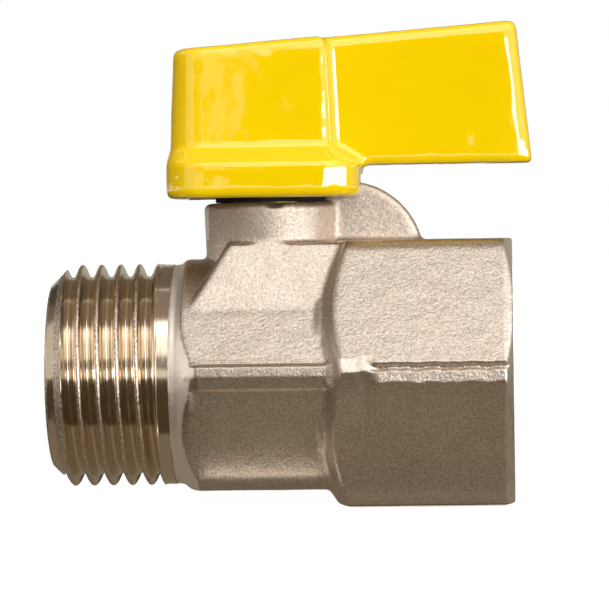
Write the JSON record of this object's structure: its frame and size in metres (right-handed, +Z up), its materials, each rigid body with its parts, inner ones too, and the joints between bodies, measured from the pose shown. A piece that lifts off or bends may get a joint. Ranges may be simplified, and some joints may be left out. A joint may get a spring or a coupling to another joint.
{
  "type": "mini ball valve",
  "caption": "Compact ball valve, male by female pipe thread, forged hexagonal body with stop lug and a yellow single-wing lever that turns a quarter.",
  "frame": {"origin": "centre of the ball, where the stem axis meets the flow axis", "axes": "+X along the flow bore towards the female port, +Z up the stem to the handle"},
  "size_m": [0.0456, 0.0276, 0.0455],
  "materials": {
    "forged_nickel_plated_brass": "nickel plated over a blasted forging",
    "turned_nickel_plated_brass": "nickel plated over a turned surface",
    "chrome_plated_brass": "polished",
    "ptfe": "matte",
    "turned_brass": "turned",
    "nitrile_rubber": "matte",
    "yellow_painted_casting": "glossy paint",
    "zinc_plated_steel": "bright zinc plating"
  },
  "bodies": {
    "body": {"valve_body": "forged_nickel_plated_brass", "male_end": "turned_nickel_plated_brass", "seat_ring_inlet": "ptfe", "seat_ring_outlet": "ptfe", "stem_thrust_washer": "ptfe"},
    "lever": {"handle": "yellow_painted_casting", "handle_screw": "zinc_plated_steel", "handle_lock_washer": "zinc_plated_steel", "stem": "turned_brass", "stem_o_ring_lower": "nitrile_rubber", "stem_o_ring_upper": "nitrile_rubber", "ball": "chrome_plated_brass"}
  },
  "joints": [
    {"name": "handle_turn", "type": "hinge", "parent": "body", "child": "lever", "pos_m": [0, 0, 0], "axis": [0, 0, -1], "range_deg": [0, 90]}
  ]
}
